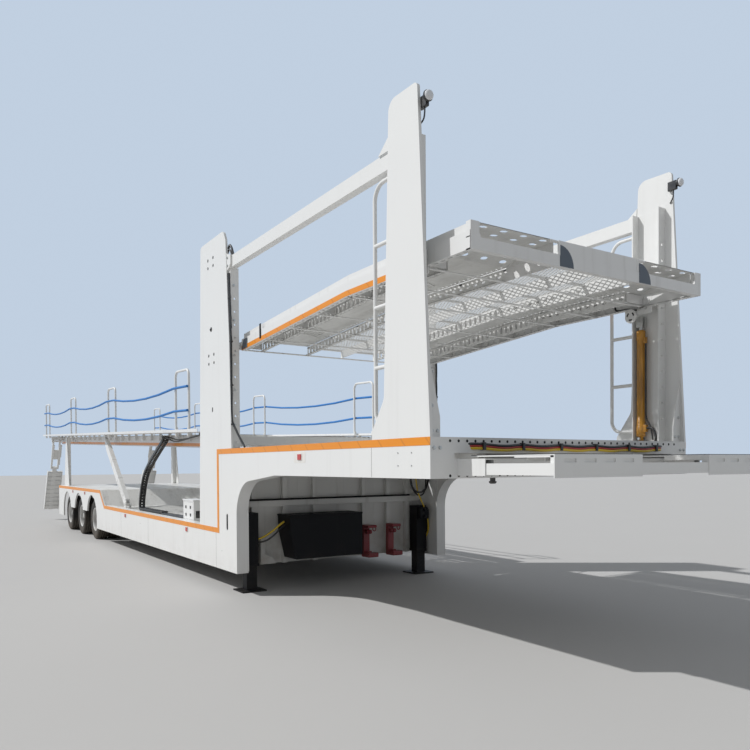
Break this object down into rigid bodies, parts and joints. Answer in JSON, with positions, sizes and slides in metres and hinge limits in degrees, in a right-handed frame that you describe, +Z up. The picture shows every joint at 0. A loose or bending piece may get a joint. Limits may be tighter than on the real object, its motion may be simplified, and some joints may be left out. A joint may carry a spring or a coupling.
{
  "type": "car carrier semi-trailer",
  "caption": "Double-deck car carrier semi-trailer with gooseneck, low deck, tilting platforms, support legs and twin wheels under a raised rear deck.",
  "frame": {"origin": "middle of the whole length and width, on the ground", "axes": "+X forward to the gooseneck, +Y to the left, +Z up"},
  "size_m": [18.771, 3.024, 4.2376],
  "materials": {
    "white_paint": "satin, lightly dusty",
    "deck_white": "satin, worn and scuffed",
    "dark_paint": "matte, dusty",
    "black_paint": "satin",
    "red_paint": "satin, dusty",
    "orange_tape": "retroreflective",
    "amber_paint": "satin, greasy",
    "tyre": "matte",
    "rim_paint": "dusty",
    "cable_plastic": "matte",
    "rope": "matte",
    "lamp_plastic": "gloss"
  },
  "bodies": {
    "chassis": {"axles": "dark_paint", "cable_chain": "cable_plastic", "chassis_rails": "white_paint", "control_cabinet": "white_paint", "coupler_plate": "dark_paint", "drop_wall": "white_paint", "front_towers": "white_paint", "gooseneck_deck": "deck_white", "gooseneck_frame": "white_paint", "ladders": "white_paint", "lift_cylinders": "amber_paint", "low_deck": "deck_white", "marker_lamps": "lamp_plastic", "marking_tape": "orange_tape", "raised_deck": "deck_white", "rear_posts": "white_paint", "rear_towers": "white_paint", "side_frames_fender": "white_paint", "side_frames_gooseneck": "white_paint", "side_frames_low": "white_paint", "support_legs": "black_paint", "suspension": "dark_paint", "tool_chest": "black_paint", "top_rails": "white_paint", "tower_lamps": "lamp_plastic", "underrun_bar": "white_paint", "wheel_chock_brackets": "red_paint"},
    "wheels_front_left": {"rims_front_left": "rim_paint", "tyres_front_left": "tyre"},
    "wheels_front_right": {"rims_front_right": "rim_paint", "tyres_front_right": "tyre"},
    "wheels_middle_left": {"rims_middle_left": "rim_paint", "tyres_middle_left": "tyre"},
    "wheels_middle_right": {"rims_middle_right": "rim_paint", "tyres_middle_right": "tyre"},
    "wheels_rear_left": {"rims_rear_left": "rim_paint", "tyres_rear_left": "tyre"},
    "wheels_rear_right": {"rims_rear_right": "rim_paint", "tyres_rear_right": "tyre"},
    "front_platform_carriers": {"rear_lift_carriers": "white_paint"},
    "front_platform": {"front_platform_frame": "white_paint", "front_platform_mesh": "deck_white", "front_platform_tape": "orange_tape", "front_platform_tracks": "deck_white"},
    "rear_platform": {"rear_platform_frame": "white_paint", "rear_platform_tape": "orange_tape", "rear_platform_tracks": "deck_white", "rear_platform_walkways": "white_paint", "handrail_posts": "white_paint", "guard_ropes": "rope"},
    "strut_sleeve_left": {"strut_sleeve_left": "white_paint"},
    "strut_rod_left": {"strut_rod_left": "white_paint"},
    "ramp_link_left": {"ramp_link_left": "white_paint"},
    "ramp_board_left": {"ramp_board_left": "white_paint"},
    "strut_sleeve_right": {"strut_sleeve_right": "white_paint"},
    "strut_rod_right": {"strut_rod_right": "white_paint"},
    "ramp_link_right": {"ramp_link_right": "white_paint"},
    "ramp_board_right": {"ramp_board_right": "white_paint"},
    "front_extension": {"front_extension": "white_paint"}
  },
  "joints": [
    {"name": "wheels_front_left_spin", "type": "hinge", "parent": "chassis", "child": "wheels_front_left", "pos_m": [-2.8445, 1.2, 0.3985], "axis": [0, 1, 0], "continuous": true},
    {"name": "wheels_front_right_spin", "type": "hinge", "parent": "chassis", "child": "wheels_front_right", "pos_m": [-2.8445, -1.2, 0.3985], "axis": [0, 1, 0], "continuous": true},
    {"name": "wheels_middle_left_spin", "type": "hinge", "parent": "chassis", "child": "wheels_middle_left", "pos_m": [-4.1845, 1.2, 0.3985], "axis": [0, 1, 0], "continuous": true},
    {"name": "wheels_middle_right_spin", "type": "hinge", "parent": "chassis", "child": "wheels_middle_right", "pos_m": [-4.1845, -1.2, 0.3985], "axis": [0, 1, 0], "continuous": true},
    {"name": "wheels_rear_left_spin", "type": "hinge", "parent": "chassis", "child": "wheels_rear_left", "pos_m": [-5.5245, 1.2, 0.3985], "axis": [0, 1, 0], "continuous": true},
    {"name": "wheels_rear_right_spin", "type": "hinge", "parent": "chassis", "child": "wheels_rear_right", "pos_m": [-5.5245, -1.2, 0.3985], "axis": [0, 1, 0], "continuous": true},
    {"name": "front_platform_lift", "type": "slide", "parent": "chassis", "child": "front_platform_carriers", "axis": [0, 0, 1], "range_m": [-1, 0.5]},
    {"name": "front_platform_tilt", "type": "hinge", "parent": "front_platform_carriers", "child": "front_platform", "pos_m": [4.5405, 0, 2.881], "axis": [0, -1, 0], "range_deg": [0, 4]},
    {"name": "rear_platform_lift", "type": "hinge", "parent": "chassis", "child": "rear_platform", "pos_m": [3.7755, 0, 1.84], "axis": [0, 1, 0], "range_deg": [0, 6]},
    {"name": "strut_sleeve_left_swing", "type": "hinge", "parent": "chassis", "child": "strut_sleeve_left", "pos_m": [-0.8145, 1.29, 0.79], "axis": [0, 1, 0], "range_deg": [0, 14]},
    {"name": "strut_rod_left_stroke", "type": "slide", "parent": "strut_sleeve_left", "child": "strut_rod_left", "axis": [-0.8029, 0, 0.5961], "range_m": [0, 0.41]},
    {"name": "ramp_link_left_swing", "type": "hinge", "parent": "rear_platform", "child": "ramp_link_left", "pos_m": [-8.1445, 1.3, 2.15], "axis": [0, 1, 0], "range_deg": [0, 50]},
    {"name": "ramp_board_left_fold", "type": "hinge", "parent": "ramp_link_left", "child": "ramp_board_left", "pos_m": [-8.5445, 1.3, 1.45], "axis": [0, 1, 0], "range_deg": [-20, 45]},
    {"name": "strut_sleeve_right_swing", "type": "hinge", "parent": "chassis", "child": "strut_sleeve_right", "pos_m": [-0.8145, -1.29, 0.79], "axis": [0, 1, 0], "range_deg": [0, 14]},
    {"name": "strut_rod_right_stroke", "type": "slide", "parent": "strut_sleeve_right", "child": "strut_rod_right", "axis": [-0.8029, 0, 0.5961], "range_m": [0, 0.41]},
    {"name": "ramp_link_right_swing", "type": "hinge", "parent": "rear_platform", "child": "ramp_link_right", "pos_m": [-8.1445, -1.3, 2.15], "axis": [0, 1, 0], "range_deg": [0, 50]},
    {"name": "ramp_board_right_fold", "type": "hinge", "parent": "ramp_link_right", "child": "ramp_board_right", "pos_m": [-8.5445, -1.3, 1.45], "axis": [0, 1, 0], "range_deg": [-20, 45]},
    {"name": "front_extension_slide", "type": "slide", "parent": "chassis", "child": "front_extension", "axis": [1, 0, 0], "range_m": [-0.53, 0.25]}
  ],
  "couplings": [
    {"joint": "strut_sleeve_left_swing", "follows": "rear_platform_lift", "ratio": 2.2166},
    {"joint": "strut_rod_left_stroke", "follows": "rear_platform_lift", "m_per_rad": 3.8659},
    {"joint": "strut_sleeve_right_swing", "follows": "rear_platform_lift", "ratio": 2.2166},
    {"joint": "strut_rod_right_stroke", "follows": "rear_platform_lift", "m_per_rad": 3.8659}
  ]
}
